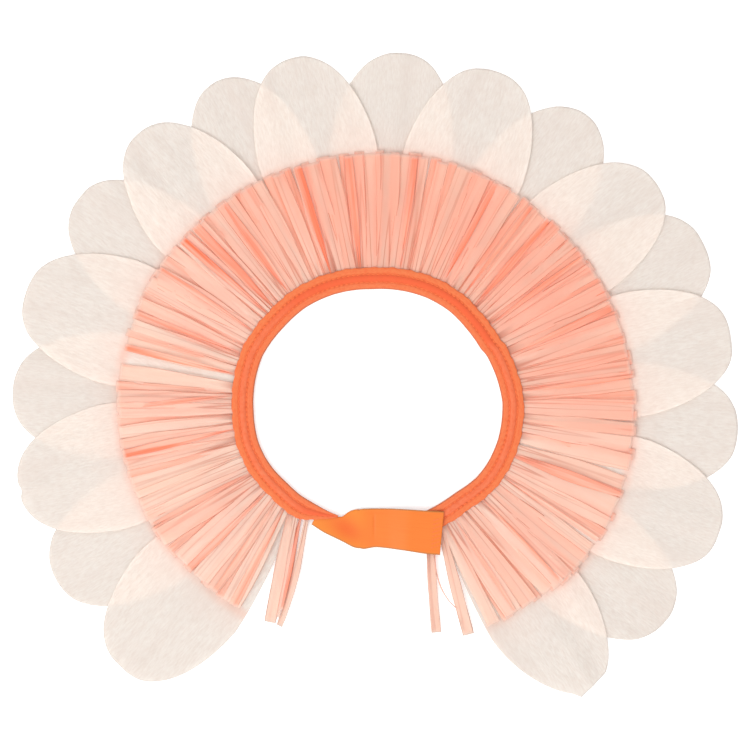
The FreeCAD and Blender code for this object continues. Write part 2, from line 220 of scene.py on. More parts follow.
def paperMaterial(name, look):
    # a thin sheet: part of the light is scattered back, part is scattered through. Its marks are given in
    # mm, and its mottle in patches to the metre
    material, tree = newMaterial(name)
    _, place, noises = sheetPattern(tree, look["marks"])
    spot = addNode(tree, "ShaderNodeTexCoord").outputs["Object"]
    mottle = addNode(tree, "ShaderNodeTexNoise", {"Scale": look["mottle"], "Detail": 2.0}, {"Vector": spot})
    colour = addNode(tree, "ShaderNodeMix",
                     {**dyes, 6: toLinear(look["light"]), 7: toLinear(look["cool"])}, {0: mottle})
    shares = {}             # how much of each further colour shows, in the order in which they lie
    if "dyed" in look:      # each strip took the dye a little differently
        chance = addNode(tree, "ShaderNodeTexWhiteNoise", {"noise_dimensions": "1D"}, {"W": place["Z"]})
        shares["dyed"] = addNode(tree, "ShaderNodeMath", {**times, 1: look["dyedShare"]}, {0: chance})
    if "upper" in look:     # the upper right side of the fringe took more dye
        height = addNode(tree, "ShaderNodeVectorMath", {"operation": "DOT_PRODUCT", 1: (0.5, 0.87, 0.0)},
                         {0: spot})
        shares["upper"] = addNode(tree, "ShaderNodeMapRange", {
            **eased, "From Min": 0.0, "From Max": 110 * mm, "To Max": look["upperShare"]}, {"Value": height})
    # painted shade in lines along the crinkles
    shares["crinkleShade"] = addNode(tree, "ShaderNodeMapRange", {
        "From Min": 0.35, "From Max": 0.7, "To Max": look["lines"]}, {"Value": noises["crinkle"]})
    if "bounceLight" in look:     # painted coral light, bounced from the fringe onto the petals past its tips
        paintedBounce = addNode(tree, "ShaderNodeAttribute", {"attribute_name": "paintedBounce"}).outputs["Fac"]
        patchy = addNode(tree, "ShaderNodeMapRange", {
            "From Min": 0.35, "From Max": 0.6, "To Min": 0.25, "To Max": look["bounceLightShare"]},
            {"Value": mottle})
        shares["bounceLight"] = addNode(tree, "ShaderNodeMath", times, {0: paintedBounce, 1: patchy})
    shares["streaked"] = addNode(tree, "ShaderNodeMapRange", {
        "From Min": 0.5, "From Max": 0.68, "To Max": look["streaks"]}, {"Value": noises["streak"]})
    for tone, share in shares.items():
        colour = addNode(tree, "ShaderNodeMix", {**dyes, 7: toLinear(look[tone])}, {0: share, 6: colour})
    # light that comes through is paler, but the colours that follow lie in the sheet and tint it too
    passed = addNode(tree, "ShaderNodeMix",
                     {**dyes, 0: look["throughPale"], 7: toLinear(look["throughTint"])}, {6: colour})
    deepShares = {}
    if "doubled" in look:   # some strips are folded double, and look deeper; a share of this is painted shade on the under strips
        fold = addNode(tree, "ShaderNodeAttribute", {"attribute_name": "double"}).outputs["Fac"]
        uneven = addNode(tree, "ShaderNodeMapRange", {
            "From Min": 0.36, "From Max": 0.6, "To Min": 0.3 * look["doubledShare"],
            "To Max": look["doubledShare"]}, {"Value": noises["streak"]})
        deepShares["doubled"] = addNode(tree, "ShaderNodeMath", times, {0: fold, 1: uneven})
    if "edge" in look:      # painted shade along cut edges, and in creases near the foot
        across = addNode(tree, "ShaderNodeAttribute", {"attribute_name": "across"}).outputs["Fac"]
        fromMiddle = addNode(tree, "ShaderNodeMath", {"operation": "ABSOLUTE"}, {0: across})
        rim = addNode(tree, "ShaderNodeMapRange", {
            **eased, "From Min": look["edgeFrom"], "From Max": 1.0, "To Max": look["edgeShadeShare"]},
            {"Value": fromMiddle})
        patches = addNode(tree, "ShaderNodeMapRange", {
            "From Min": 0.42, "From Max": 0.62, "To Min": 0.15, "To Max": 1.0}, {"Value": noises["streak"]})
        rimShade = addNode(tree, "ShaderNodeMath", times, {0: rim, 1: patches})
        middling = addNode(tree, "ShaderNodeMath", {"operation": "SUBTRACT", 1: 0.5}, {0: noises["crease"]})
        offLine = addNode(tree, "ShaderNodeMath", {"operation": "ABSOLUTE"}, {0: middling})
        line = addNode(tree, "ShaderNodeMapRange", {
            **eased, "From Min": 0.05, "From Max": 0.0, "To Max": look["creaseShare"]}, {"Value": offLine})
        footward = addNode(tree, "ShaderNodeMapRange", {
            **eased, "From Min": 42 * mm, "From Max": 6 * mm, "To Min": 0.4, "To Max": 1.0},
            {"Value": place["Y"]})
        creaseLineShade = addNode(tree, "ShaderNodeMath", times, {0: line, 1: footward})
        deepShares["edge"] = addNode(tree, "ShaderNodeMath", {"operation": "MAXIMUM"},
                                     {0: rimShade, 1: creaseLineShade})
    if "tip" in look:       # painted light: the tips are painted paler, over the shade beneath them
        toTip = addNode(tree, "ShaderNodeAttribute", {"attribute_name": "toTip"}).outputs["Fac"]
        deepShares["tip"] = addNode(tree, "ShaderNodeMapRange", {
            **eased, "From Max": look["tipFade"] * mm, "To Min": look["tipLightShare"], "To Max": 0.0},
            {"Value": toTip})
    for tone, share in deepShares.items():
        tint = {**dyes, 7: toLinear(look[tone])}
        colour, passed = [addNode(tree, "ShaderNodeMix", tint, {0: share, 6: base})
                          for base in (colour, passed)]
    bump = addNode(tree, "ShaderNodeBump", {
        "Strength": look["bump"], "Distance": look["crinkleHeight"] * mm}, {"Height": noises["crinkle"]})
    front = addNode(tree, "ShaderNodeBsdfPrincipled", {
        "Roughness": look["roughness"], "IOR": 1.47, "Specular IOR Level": look["specular"]},
        {"Base Color": colour, "Normal": bump})
    through = addNode(tree, "ShaderNodeBsdfTranslucent", None, {"Color": passed, "Normal": bump})
    sheet = addNode(tree, "ShaderNodeMixShader", {"Fac": look["through"]}, {1: front, 2: through})
    # thin enough to see what lies against it, less so where it is folded double
    clear = addNode(tree, "ShaderNodeBsdfTransparent")
    mixed = addNode(tree, "ShaderNodeMixShader", {"Fac": look["sheer"]}, {1: sheet, 2: clear})
    if "doubled" in look:
        seen = addNode(tree, "ShaderNodeMapRange", {"To Min": look["sheer"], "To Max": look["sheer"] ** 2},
                       {"Value": fold})
        tree.links.new(mixed.inputs[0], seen.outputs[0])
    addNode(tree, "ShaderNodeOutputMaterial", None, {"Surface": mixed})
    return material


sheetTree = thickenTree()
# Crepe paper: wet pulp pushed into fine crinkles as it dried, so it is matt and ribbed along its length,
# and so thin that the petals behind show through. The crinkles are drawn about twice as wide as they are.
crepePaper = paperMaterial("crepePaperIvory", {
    "light": "#FFFAF4", "cool": "#FFF8F2", "mottle": 28.0,
    # the valley colour is painted shade along the crinkles
    "crinkleShade": "#EFE1D8", "lines": 0.66, "streaked": "#F2E5DD", "streaks": 0.3,
    "marks": {"crinkle": (0.9, 4.2, 37.0, 3.0, 0.6), "streak": (13.0, 110.0, 11.0, 2.0, 0.5)},
    "crinkleHeight": 0.14, "bump": 0.85, "roughness": 0.85, "specular": 0.3,
    "through": 0.38, "throughTint": "#FFFCF7", "throughPale": 0.5, "sheer": 0.28,
    # the blush is painted coral light bounced from the fringe
    "bounceLight": "#FFCDB8", "bounceLightShare": 0.45})
# Tissue paper: thin pressed pulp, dyed through, then slit and gathered by hand. It is matt and sheer, its
# colour is streaked, and it looks deeper in folds; painted shade darkens its cut edges and creases, and
# painted light makes its tips paler.
tissuePaper = paperMaterial("tissuePaperCoral", {
    "light": "#FFEEE0", "cool": "#FFE8D9", "mottle": 30.0,
    "dyed": "#FFC7AE", "dyedShare": 0.5, "upper": "#FFC3AA", "upperShare": 0.72,
    # the valley colour is painted shade along the crinkles
    "crinkleShade": "#FFD5C1", "lines": 0.25, "streaked": "#FFC0A6", "streaks": 0.3,
    "marks": {"crinkle": (0.9, 18.0, 37.0, 3.0, 0.6), "streak": (2.6, 60.0, 11.0, 2.0, 0.5),
              "crease": (4.5, 150.0, 53.0, 0.0, 0.5)},
    "crinkleHeight": 0.08, "bump": 0.4, "roughness": 0.8, "specular": 0.3,
    "through": 0.42, "throughTint": "#FFFCF8", "throughPale": 0.68, "sheer": 0.42,
    "doubled": "#FF8F62", "doubledShare": 0.95,
    # the edge colour is painted shade along the strips' cut edges and creases
    "edge": "#C86034", "edgeFrom": 0.9, "edgeShadeShare": 0.7, "creaseShare": 0.5,
    # the tip colour is painted light over the last mm of each strip
    "tip": "#FFEDE2", "tipLightShare": 0.6, "tipFade": 2.4})
print("materials for the papers made")

# Reach of the fringe from the middle of the ring, at places round it
tipAt = [-62, -52, -45, -39, -30, -18, 0, 90, 112, 125, 150, 165, 180, 195, 201, 218, 236]
tipBy = [147.5, 147.5, 151, 154.5, 155.5, 156.5, 156, 156, 155, 156, 157, 156.5, 156, 154, 153, 149, 146.5]

# Each petal: place on the ring, direction of its tip, reach and width as shares of the usual ones,
# roundness of its tip, and how far the tip is drawn to the left of its axis
frontPetals = [(217.5, 225.3, 0.992, 1.03, 2.5, 0.0), (190.0, 192.3, 1.004, 1.04, 2.5, 1.0),
               (160.0, 161.0, 1.016, 1.05, 2.5, 1.0), (131.5, 130.2, 1.003, 1.00, 2.2, 0.5),
               (102.0, 103.0, 0.996, 0.986, 2.3, 2.0), (71.0, 70.3, 0.990, 1.02, 2.4, 0.0),
               (42.0, 40.2, 0.992, 0.99, 2.4, -2.5), (12.8, 12.3, 0.996, 1.03, 2.5, 0.0),
               (-18.2, -19.7, 0.998, 1.04, 2.5, 0.0), (-46.5, -52.0, 0.975, 0.90, 1.65, 1.0)]
backPetals = [(205.5, 207.7, 0.992, 1.03, 2.5, 0.0), (175.0, 177.0, 1.000, 1.04, 2.5, 0.0),
              (145.5, 145.0, 1.006, 1.00, 2.3, -1.5), (116.5, 115.6, 1.006, 0.97, 2.2, 0.0),
              (87.0, 86.6, 0.985, 1.014, 2.4, -2.5), (56.0, 55.0, 0.997, 0.986, 2.2, -0.5),
              (27.0, 26.9, 1.010, 1.03, 2.6, 1.0), (-2.8, -3.5, 0.995, 1.04, 2.5, 0.5),
              (-33.2, -35.9, 0.982, 1.01, 2.4, 0.8)]
petal = {
    "reach": 219.0, "width": 73.0, "foot": 34.0, "tip": 61.0, "thickness": 0.14,
    "across": 64, "along": 90,          # stretches of the net
    "wobble": 0.25,                     # unevenness of the cut round the tip
    "tipFill": 0.785,                   # how much of its box the rounded tip fills
    "wave": 0.5,                        # half the height of the soft radial waves
    "pleat": 0.3, "pleats": 9,          # gathers at the foot: their height and how many
    "pleatRise": 6, "pleatFrom": 20, "pleatFade": 60,   # runs over which they grow and fade
    "seed": 4,
}
# Painted coral light bounced from the fringe onto the petals: it starts this far inside the fringe's tips,
# and past them it fades in two steps, most of it over a short run and the rest over a long one
bounceFade = {"inside": 6, "rise": 5, "fadeFrom": 1,
          "short": 6, "shortShare": 0.72, "long": 26, "longShare": 0.28}
# Creases: left of the axis and back from the tip, at both ends, with how deep and how wide they are
petalCreases = {
    "front_petal_02": [(1.0, 2.0, -1.5, 66.0, 1.3, 3.0)],
    "front_petal_04": [(19.2, 8.9, 14.9, 28.4, 1.2, 3.0)],
    "back_petal_03": [(-19.5, 6.3, -18.2, 25.2, 1.0, 3.0)],
    "front_petal_10": [(0.0, 1.0, 1.0, 45.0, 1.0, 4.0)],
}
# Dents in a tip, or a point where it is negative: place across from -1 to 1, depth, and reach across
petalNotches = {"front_petal_02": (0.0, 1.6, 0.05), "front_petal_04": (0.62, 1.6, 0.04),
                "front_petal_10": (-0.19, -2.2, 0.035)}
# Straight cuts across a tip, as the ends of the cut in the same terms as the creases
petalCuts = {"front_petal_10": (-8.8, 1.7, 23.1, 7.3)}


def petalSpread(run, width):
    # a petal's width between its foot and the start of its rounded tip
    return petal["foot"] + (width - petal["foot"]) * (1.25 * run - 0.25 * run ** 3)


def makePetal(name, shape, tuckZ, openZ):
    # ribs run from inside the tape to the rounded tip, and open out from one height to the other
    ringAngle, tipAngle, reachShare, widthShare, roundness, lean = shape
    inTape = ring["width"] - ring["tuck"]
    foot = ringPoint(ringAngle, inTape)
    axis = heading(tipAngle) * petal["reach"] * reachShare - foot
    length = np.hypot(*axis)
    axis = axis / length
    side = np.array([-axis[1], axis[0]])
    width = petal["width"] * widthShare
    sideLength = length - petal["tip"]
    turn = np.linspace(-1, 1, petal["across"] + 1)
    share = np.sin(np.pi / 2 * turn)
    ribEnd = sideLength + petal["tip"] * np.sqrt(np.maximum(0, 1 - np.abs(share) ** roundness))
    ribEnd += sum(petal["wobble"] / k * np.sin(np.pi * k * turn * 1.7 + dice.uniform(*anyPhase))
                  for k in (1, 2, 3, 5))
    if name in petalNotches:
        at, depth, reach = petalNotches[name]
        ribEnd -= depth * np.exp(-((turn - at) / reach) ** 2)
    if name in petalCuts:
        x0, back0, x1, back1 = petalCuts[name]
        spare = length - back0 - (share * width / 2 + lean - x0) * (back1 - back0) / (x1 - x0)
        ribEnd = np.where(share * width / 2 > x0, np.minimum(ribEnd, spare), ribEnd)

    def place(along):
        spread = petalSpread(np.clip(along / sideLength, 0, 1), width)
        drawn = lean * np.clip(along / length * 1.54 - 0.54, 0, 1) ** 2     # only over its outer part
        return foot + axis * along[..., None] + side * (share * spread / 2 + drawn)[..., None]

    # each rib starts where it enters the tape, found by halving
    low, high = np.full_like(share, -ring["tuck"]), np.full_like(share, length * 0.5)
    for _ in range(30):
        middle = (low + high) / 2
        short = ringOffset(place(middle)) < inTape
        low, high = np.where(short, middle, low), np.where(short, high, middle)
    rows = np.linspace(0, 1, petal["along"] + 1)[:, None]
    along = low + (ribEnd - low) * rows
    flat = place(along)
    offset = ringOffset(flat)
    cut = np.stack([(flat - foot) @ side, (flat - foot) @ axis], -1)
    wave = np.zeros_like(along)
    for k in range(1, 5):
        drift = dice.uniform(-0.8, 0.8)
        wave += dice.uniform(0.5, 1.0) / k ** 0.5 * np.cos(
            np.pi * k * 0.9 * share + dice.uniform(*anyPhase) + drift * cut[..., 1] / length * 2)
    wave = petal["wave"] * np.tanh(wave)
    out = opened(offset)
    fold = petal["pleat"] * np.cos(np.pi * petal["pleats"] * share + dice.uniform(*anyPhase))
    fold = fold * smooth((offset - ring["width"]) / petal["pleatRise"])
    fold = fold * (1 - smooth((offset - petal["pleatFrom"]) / petal["pleatFade"]))
    z = tuckZ + (openZ - tuckZ + wave) * out + fold
    for x0, back0, x1, back1, depth, reach in petalCreases.get(name, ()):
        start, end = np.array([x0, length - back0]), np.array([x1, length - back1])
        line = end - start
        here = cut - start
        part = np.clip(here @ line / (line @ line), 0, 1)
        gap = np.hypot(*np.moveaxis(here - part[..., None] * line, -1, 0))
        z += depth * (1 - part) ** 0.7 * np.exp(-gap / reach) * out
    source = gridObject(name, np.concatenate([flat, z[..., None]], -1), cut, dice.random())
    # painted light: the share of coral light bounced from the fringe, by how far past its tips
    turnAbout = np.degrees(np.arctan2(flat[..., 1], flat[..., 0]))
    tips = np.interp(np.where(turnAbout < -90, turnAbout + 360, turnAbout), tipAt, tipBy)
    past = np.hypot(flat[..., 0], flat[..., 1]) - tips
    left = 1.0
    for step in ("short", "long"):
        left = left - bounceFade[step + "Share"] * smooth((past + bounceFade["fadeFrom"]) / bounceFade[step])
    store(source.data, "paintedBounce", smooth((past + bounceFade["inside"]) / bounceFade["rise"]) * left)
    piece = runTree(source, sheetTree, {"Thickness": petal["thickness"] * mm, "Material": crepePaper},
                    name + "_crepe")
    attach(piece, body)
    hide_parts(name)
    area = np.trapz(petalSpread(rows[:, 0], width), rows[:, 0] * sideLength)
    area += petal["tipFill"] * width * petal["tip"]


# Heights of the layers inside the tape, and where they have opened out
heights = {"backTuck": 0.8, "frontTuck": 1.5, "underTuck": 2.2, "overTuck": 2.75,
           "backOpen": 1.0, "frontOpen": 2.25, "underOpen": 4.2, "overOpen": 5.3}
dice = random.Random(petal["seed"])
for layer, shapes in (("back", backPetals), ("front", frontPetals)):
    for k, shape in enumerate(shapes):
        makePetal("%s_petal_%02d" % (layer, k + 1), shape, heights[layer + "Tuck"], heights[layer + "Open"])
print("petals made:", len(frontPetals) + len(backPetals))

# Fringe: strips follow guide lines, which carry half width, twist and place along the strip
fringe = {
    "depth": 75.0,                     # from the strips' roots to their tips
    "ragged": 1.3, "thickness": 0.12, "root": 8.0,
    "steps": 30, "across": 13,
    "pleat": 0.3, "pleats": 1.6,       # gathers at the foot of each strip: height and how many
    "gathered": 34.0,                  # run over which the gathers fade
    "crumple": 0.7, "crumpleSize": 14.0,
    "droop": 0.5,                      # share of their height that the strips' tips sink by
    "droopFrom": 26.0, "droopRun": 44.0, "droopMore": 0.6,
    "foldLift": 1.2, "strandDrop": 1.5,   # folded strips lie higher, and loose strands lower
    "seed": 7, "foldSeed": 3,
}
# Lean of the strips off their ring angle, in degrees of heading, at places round the ring
leanAt = [-66, -58, -47, -38, -30, -25, -5, 20, 60, 160, 175, 190, 206, 212, 216, 221, 226, 232]
leanBy = [-3, -2, -1, -6, -9, -4, -2, 0, 0, 0, 3, 3, 2, 7, 11, 14, 16, 18]


def stripLine(footAngle, direction, swing, length, halfWidth, tuckZ, openZ, lift, twist, folded):
    # one guide line: its places, and what the fringe's tree and material read along it
    run = np.linspace(0, 1, fringe["steps"] + 1)
    along = run * length
    steps = heading(direction + swing * run ** 2) * (length / fringe["steps"])
    start = ringPoint(footAngle, fringe["root"])
    flat = start + np.concatenate([[[0, 0]], np.cumsum((steps[1:] + steps[:-1]) / 2, 0)])
    drop = fringe["droop"] * (openZ - heights["frontOpen"] + fringe["droopMore"])
    drop = drop * smooth((along - fringe["droopFrom"]) / fringe["droopRun"])
    z = tuckZ + (openZ - tuckZ + lift - drop) * opened(ringOffset(flat))
    wobble = 1 + 0.05 * np.sin(run * dice.uniform(6, 12) + dice.uniform(*anyPhase))
    half = halfWidth * (0.56 + 0.44 * smooth(run / 0.62)) * wobble      # gathered narrow at its foot
    if folded:                         # a folded strip is widest somewhere along its length
        widest = foldDice.uniform(0.4, 0.9)
        half = half * (1.1 - 0.65 * ((run - widest) / max(widest, 1 - widest)) ** 2)
    return {"places": np.concatenate([flat, z[:, None]], 1), "halfWidth": half * mm,
            "twist": np.radians(twist) * smooth((run - 0.25) / 0.6), "along": along * mm,
            "toTip": (along[-1] - along) * mm, "double": np.full_like(run, folded)}


def fringeTree(sizes):
    # sweeps a flat section along each guide line, gathers its foot and crumples the rest
    tree, given = newTree("slitFringe", sizes)
    twist, half, across, along, tone = [
        addNode(tree, "GeometryNodeInputNamedAttribute", {"data_type": "FLOAT", "Name": label})
        for label in ("twist", "halfWidth", "across", "along", "tone")]
    lines = addNode(tree, "GeometryNodeMeshToCurve", None, {"Mesh": given["Geometry"]})
    level = addNode(tree, "GeometryNodeSetCurveNormal", {"mode": "Z_UP"}, {"Curve": lines})
    tilted = addNode(tree, "GeometryNodeSetCurveTilt", None, {"Curve": level, "Tilt": twist})
    section = addNode(tree, "GeometryNodeCurvePrimitiveLine", {"Start": (-1, 0, 0), "End": (1, 0, 0)})
    fine = addNode(tree, "GeometryNodeResampleCurve", None, {"Curve": section, "Count": given["Across"]})
    spot = addNode(tree, "GeometryNodeInputPosition")
    parts = addNode(tree, "ShaderNodeSeparateXYZ", None, {"Vector": spot})
    marked = addNode(tree, "GeometryNodeStoreNamedAttribute",
                     {"data_type": "FLOAT", "domain": "POINT", "Name": "across"},
                     {"Geometry": fine, "Value": parts.outputs["X"]})
    ribbon = addNode(tree, "GeometryNodeCurveToMesh", None,
                     {"Curve": tilted, "Profile Curve": marked, "Scale": half})
    acrossFlat = addNode(tree, "ShaderNodeMath", times, {0: across, 1: half})
    cut = addNode(tree, "ShaderNodeCombineXYZ", None, {"X": acrossFlat, "Y": along, "Z": tone})
    flat = addNode(tree, "GeometryNodeStoreNamedAttribute",
                   {"data_type": "FLOAT_VECTOR", "domain": "POINT", "Name": "cut"},
                   {"Geometry": ribbon, "Value": cut})
    # gathers: waves across the strip that are strongest just outside the tape, and start elsewhere on each
    # strip, a golden angle on
    phase = addNode(tree, "ShaderNodeMath", {**times, 1: 2.399}, {0: tone})
    turn = addNode(tree, "ShaderNodeMath", {**times, 1: math.pi}, {0: given["Pleats"]})
    wave = addNode(tree, "ShaderNodeMath", {"operation": "MULTIPLY_ADD"}, {0: across, 1: turn, 2: phase})
    crest = addNode(tree, "ShaderNodeMath", {"operation": "SINE"}, {0: wave})
    rise = addNode(tree, "ShaderNodeMapRange", {**eased, "From Min": 3 * mm, "From Max": 13 * mm},
                   {"Value": along})
    fade = addNode(tree, "ShaderNodeMapRange", {"From Min": 8 * mm, "To Min": 1.0, "To Max": 0.12},
                   {"Value": along, "From Max": given["Gathered Run"]})
    gathered = addNode(tree, "ShaderNodeMath", times, {0: rise, 1: fade})
    pleat = addNode(tree, "ShaderNodeMath", times, {0: crest, 1: gathered})
    pleatZ = addNode(tree, "ShaderNodeMath", times, {0: pleat, 1: given["Pleat Height"]})
    # crumples: slow noise, different for each strip
    fineness = addNode(tree, "ShaderNodeMath", {"operation": "DIVIDE", 0: 1.0}, {1: given["Crumple Size"]})
    noise = addNode(tree, "ShaderNodeTexNoise", {"noise_dimensions": "4D", "Detail": 2.0},
                    {"Scale": fineness, "W": phase})
    centred = addNode(tree, "ShaderNodeMath", {"operation": "SUBTRACT", 1: 0.5}, {0: noise})
    crumple = addNode(tree, "ShaderNodeMath", times, {0: centred, 1: given["Crumple Height"]})
    crumpleZ = addNode(tree, "ShaderNodeMath", times, {0: crumple, 1: rise})
    lift = addNode(tree, "ShaderNodeMath", {"operation": "MULTIPLY_ADD", 1: 2.0}, {0: crumpleZ, 2: pleatZ})
    shift = addNode(tree, "ShaderNodeCombineXYZ", None, {"Z": lift})
    moved = addNode(tree, "GeometryNodeSetPosition", None, {"Geometry": flat, "Offset": shift})
    thick = addNode(tree, "GeometryNodeGroup", {"node_tree": sheetTree},
                    {"Geometry": moved, "Thickness": given["Thickness"], "Material": given["Material"]})
    return endTree(tree, given, thick)


stripSizes = {"Pleat Height": fringe["pleat"] * mm, "Pleats": fringe["pleats"],
              "Gathered Run": fringe["gathered"] * mm, "Crumple Height": fringe["crumple"] * mm,
              "Crumple Size": fringe["crumpleSize"] * mm, "Thickness": fringe["thickness"] * mm,
              "Across": fringe["across"]}
stripTree = fringeTree(stripSizes)
# Over strips stand side by side all round, under strips close the gaps between them. Strips beside a bare
# gap settle this much lower, and every strip of a layer is painted this share of the folded colour (deep),
# which on the under strips is painted shade beneath the over strips
layers = {
    "under_fringe": {"half": 3.4, "spread": 1.2, "lean": 1.5, "longer": 1.0, "settle": 0.65, "deep": 0.3,
                     "tuck": "underTuck", "open": "underOpen"},
    "over_fringe": {"half": 5.3, "spread": 1.6, "lean": 2.2, "longer": -0.3, "settle": 1.25, "deep": 0.0,
                    "tuck": "overTuck", "open": "overOpen"},
}
row = {"start": -61.4, "end": 227.6, "step": 4.25, "jitter": 0.6, "halfAngle": 2.2}   # degrees
# Gaps in the over fringe where the petals show: ring angle and half its width in degrees
bareGaps = [(-12.5, 0.1), (51.0, 0.1), (167.3, 1.1), (198.0, 0.6)]
# Strips folded lengthwise, which show as coral bands: ring angle, half width, lean, how far folded. The two
# that are hardly folded only fill a narrow gap
doubled = [(-54, 1.2, 0, .3), (-39, 1.0, -2, .5), (-27, 1.5, 0, .35), (-17.5, 3.0, 0, .45), (8, 1.4, 0, .4),
           (23, 2.0, 1, .5), (37, 1.4, 0, .5), (47, 2.0, 2, .85), (53, 1.2, 0, .6), (62.5, 1.8, 0, .6),
           (80.5, 1.7, 1, .6), (96.5, 2.2, -1, .7), (108, 2.0, 0, .85), (126, 2.4, 1, .55),
           (134.5, 2.6, 0, .6), (138, 2.0, 1, 1), (147, 1.4, -1, .7), (156.5, 1.2, 3, .5),
           (165.2, 1.8, 0, .8), (173, 1.4, 11, .45), (187, 2.3, 2.4, .8), (198, 2.1, 0, .05),
           (51, 1.5, 0, .05), (206, 1.6, 0, .35), (216, 1.9, -2, .5), (221.5, 1.4, 0, .35),
           (225.5, 2.4, 1, .4)]
# Loose strands below the tape's ends: foot angle, heading, swing, length, half width, twist, folded. The
# last one is a thread
strands = [(-65.0, 273.4, 2.0, 65.5, 2.8, 0, 0), (-59.8, 284.0, 1.5, 72.0, 3.3, 8, 0),
           (228.1, 259.4, 0.0, 71.5, 3.4, 8, 0), (231.0, 258.5, 0.0, 66.0, 2.4, 8, 0),
           (233.5, 256.8, 0.0, 60.0, 2.2, 20, .6),
           (236.3, 259.8, -11.5, 69.0, 2.4, 40, 0), (-60.0, 262.0, 60.0, 58.0, 0.3, 20, .5)]
dice, foldDice = random.Random(fringe["seed"]), random.Random(fringe["foldSeed"])
overAngles = []
stretches = [row["start"]] + [e for gap, half in bareGaps for e in (gap - half, gap + half)] + [row["end"]]
for low, high in zip(stretches[::2], stretches[1::2]):
    low, high = low + row["halfAngle"], high - row["halfAngle"]
    count = round((high - low) / row["step"])
    for k in range(count + 1):
        nudge = dice.uniform(-1, 1) * row["jitter"] if 0 < k < count else 0.0
        overAngles.append(low + (high - low) * k / count + nudge)
underAngles = [(a + b) / 2 for a, b in zip(overAngles, overAngles[1:])]


def stripAt(angle, half, lean, tuckZ, openZ, longer, folded=0.0):
    foot = float(ringRadius(angle)) + fringe["root"]
    direction = angle + float(np.interp(angle, leanAt, leanBy)) + lean
    reach = float(np.interp((angle + direction) / 2, tipAt, tipBy)) - dice.uniform(0, fringe["ragged"])
    return stripLine(angle, direction, dice.uniform(-2.5, 2.5), reach + longer - foot, half, tuckZ, openZ,
                     dice.uniform(-0.3, 0.3), dice.choice((-1, 1)) * dice.uniform(1, 6), folded)


def fromGap(angle):
    return min(abs(angle - gap) - half for gap, half in bareGaps)


for name, layer in layers.items():
    tuckZ, openZ = heights[layer["tuck"]], heights[layer["open"]]
    over = name == "over_fringe"
    lines = []
    for angle in (overAngles if over else underAngles):
        if over or fromGap(angle) > 1.2:
            free = float(smooth((fromGap(angle) - 2.3) / 1.5))
            lines.append(stripAt(angle, layer["half"] + dice.uniform(-1, 1) * layer["spread"] * free,
                                 dice.uniform(-1, 1) * layer["lean"] * free, tuckZ,
                                 openZ - layer["settle"] * (1 - free), layer["longer"]))
            # on the under strips this share is painted shade beneath the over strips
            lines[-1]["double"] += layer["deep"]
    for angle, half, lean, folded in (doubled if over else ()):
        lines.append(stripAt(angle, half, lean, tuckZ, openZ + fringe["foldLift"], layer["longer"], folded))
    # each loose strand is two papers thick: one in each fringe
    for *course, twist, folded in strands:
        lines.append(stripLine(*course, tuckZ, openZ - fringe["strandDrop"], 0.0, twist, folded))
    guide = guideObject(name + "_lines", [line["places"] for line in lines])
    for k, line in enumerate(lines):
        line["tone"] = np.full_like(line["along"], k)
    for label in ("halfWidth", "twist", "along", "tone", "double", "toTip"):
        store(guide.data, label, [line[label] for line in lines])
    piece = runTree(guide, stripTree, {**stripSizes, "Material": tissuePaper}, name + "_strips")
    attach(piece, body)
    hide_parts(name)
    print(name, "strips:", len(lines))

# Binding tape: folded in half over the papers, puffed between its two seams
tape = {
    "start": -72.0, "end": 250.0, "taperStart": 234.0, "taperWidth": 1.0,
    "leaf": 0.5, "fold": 1.0, "top": 3.35, "height": 3.9, "seam": 4.2, "flatWidth": 28.0,
    "puff": 0.55, "pinch": 0.28, "pucker": 0.10, "ripple": 0.12,   # how far each lifts or lowers the top
    "steps": 600, "pitch": 3.0,
}
# Wander of the tape off the true ring, in mm at ring angles
wanderAt = [-72, -56, -45, -34, -18, 4, 20, 27, 31, 42, 54, 66,
            92, 110, 124, 138, 154, 166, 180, 200, 218, 228, 249]
wanderBy = [0.3, 0.6, 0.0, 0.7, -0.2, 1.0, -0.3, -0.7, -1.9, -1.6, -0.5, -0.4,
            -1.7, -0.4, 0.3, 0.0, 0.9, -0.1, -1.4, -2.0, -1.4, 0.1, 0.1]


def wander(angle):
    # smooth through the listed places
    fine = np.linspace(-80, 256, 1200)
    raw = np.interp(fine, wanderAt, wanderBy)
    kernel = np.hanning(13)
    soft = np.convolve(np.pad(raw, 6, "edge"), kernel / kernel.sum(), "valid")
    return np.interp(angle, fine, soft)


def tapeSection(width):
    # closed outline of the folded tape as offsets and heights: inside the fold, over the top, round the
    # fold and back along the bottom
    fold = tape["fold"] * min(1.0, 4 * (width / ring["width"]))
    top, high, leaf = tape["top"], tape["height"], tape["leaf"]
    inner = [(width, leaf)] + [(width + (fold - width) * k / 6, leaf) for k in range(1, 7)]
    inner += [(fold, leaf + (top - leaf) * k / 3) for k in (1, 2, 3)]
    inner += [(fold + (width - fold) * k / 16, top) for k in range(1, 17)]
    outer = [(width * (1 - k / 40), high) for k in range(40)]
    rolled = [(fold * 0.45 * (1 - math.sin(turn)), high / 2 + high / 2 * math.cos(turn))
              for turn in np.linspace(0.12, math.pi - 0.12, 9)]
    lower = [(width * k / 8, 0.0) for k in range(1, 9)]
    return np.array(inner + outer + rolled + lower)


